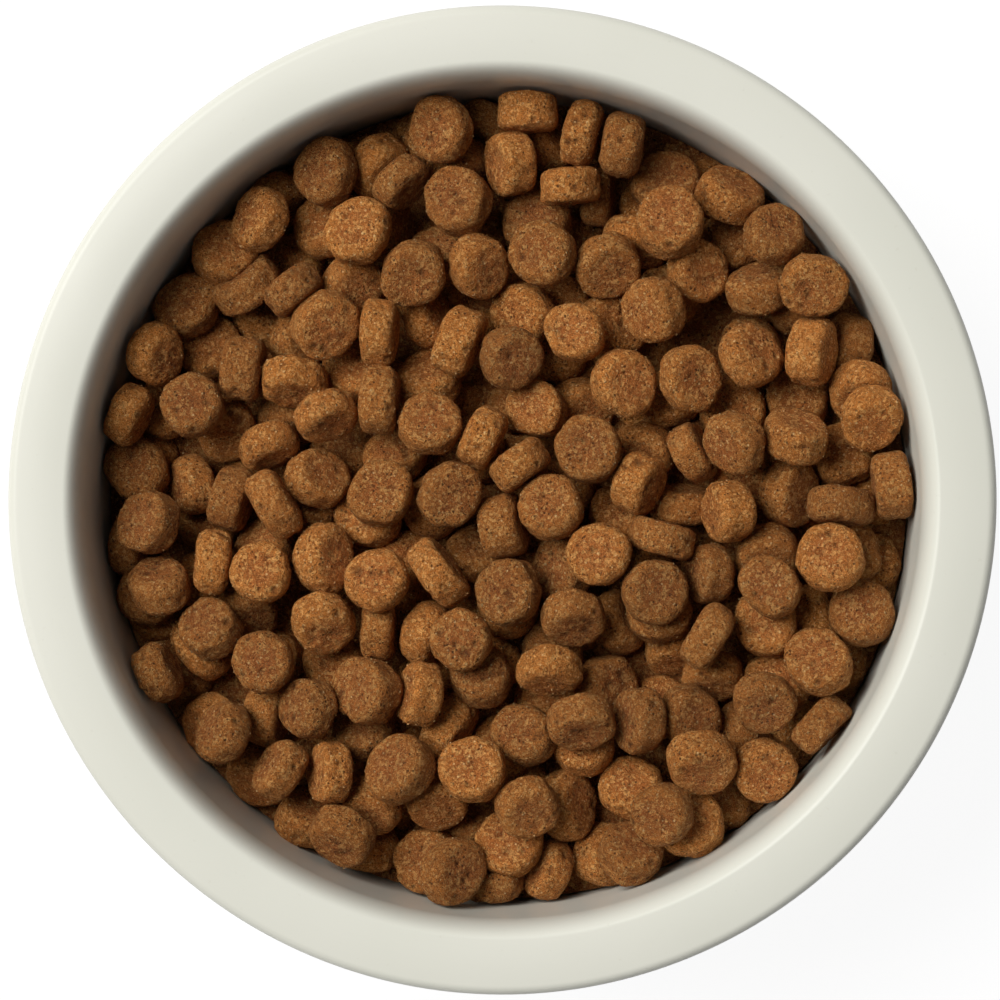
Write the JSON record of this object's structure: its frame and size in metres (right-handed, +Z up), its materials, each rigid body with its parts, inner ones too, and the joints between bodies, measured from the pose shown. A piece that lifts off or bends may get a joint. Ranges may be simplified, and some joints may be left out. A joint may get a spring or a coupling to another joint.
{
  "type": "pet bowl filled with kibble",
  "caption": "Round off-white stoneware pet bowl with a broad rounded rim and a foot ring, filled nearly to the top with loose brown dry kibble.",
  "frame": {"origin": "centre of the foot ring's underside, on the bowl's axis", "axes": "+Z up along the bowl's axis, +X to the right and +Y to the top of the picture, which looks straight down"},
  "size_m": [0.16, 0.16, 0.06],
  "materials": {
    "stoneware": "gloss",
    "kibble": "matte"
  },
  "bodies": {
    "root": {"bowl": "stoneware", "kibble_bed": "kibble", "kibble_01": "kibble", "kibble_02": "kibble", "kibble_03": "kibble", "kibble_04": "kibble", "kibble_05": "kibble", "kibble_06": "kibble", "kibble_07": "kibble", "kibble_08": "kibble", "kibble_09": "kibble", "kibble_10": "kibble", "kibble_11": "kibble", "kibble_12": "kibble", "kibble_13": "kibble", "kibble_14": "kibble", "kibble_15": "kibble", "kibble_16": "kibble", "kibble_17": "kibble", "kibble_18": "kibble", "kibble_19": "kibble", "kibble_20": "kibble", "kibble_21": "kibble", "kibble_22": "kibble", "kibble_23": "kibble", "kibble_24": "kibble", "kibble_25": "kibble", "kibble_26": "kibble", "kibble_27": "kibble", "kibble_28": "kibble", "kibble_29": "kibble", "kibble_30": "kibble", "kibble_31": "kibble", "kibble_32": "kibble", "kibble_33": "kibble", "kibble_34": "kibble", "kibble_35": "kibble", "kibble_36": "kibble", "kibble_37": "kibble", "kibble_38": "kibble", "kibble_39": "kibble", "kibble_40": "kibble", "kibble_41": "kibble", "kibble_42": "kibble", "kibble_43": "kibble", "kibble_44": "kibble", "kibble_45": "kibble", "kibble_46": "kibble", "kibble_47": "kibble", "kibble_48": "kibble", "kibble_49": "kibble", "kibble_50": "kibble", "kibble_51": "kibble", "kibble_52": "kibble", "kibble_53": "kibble", "kibble_54": "kibble", "kibble_55": "kibble", "kibble_56": "kibble", "kibble_57": "kibble", "kibble_58": "kibble"}
  },
  "joints": []
}
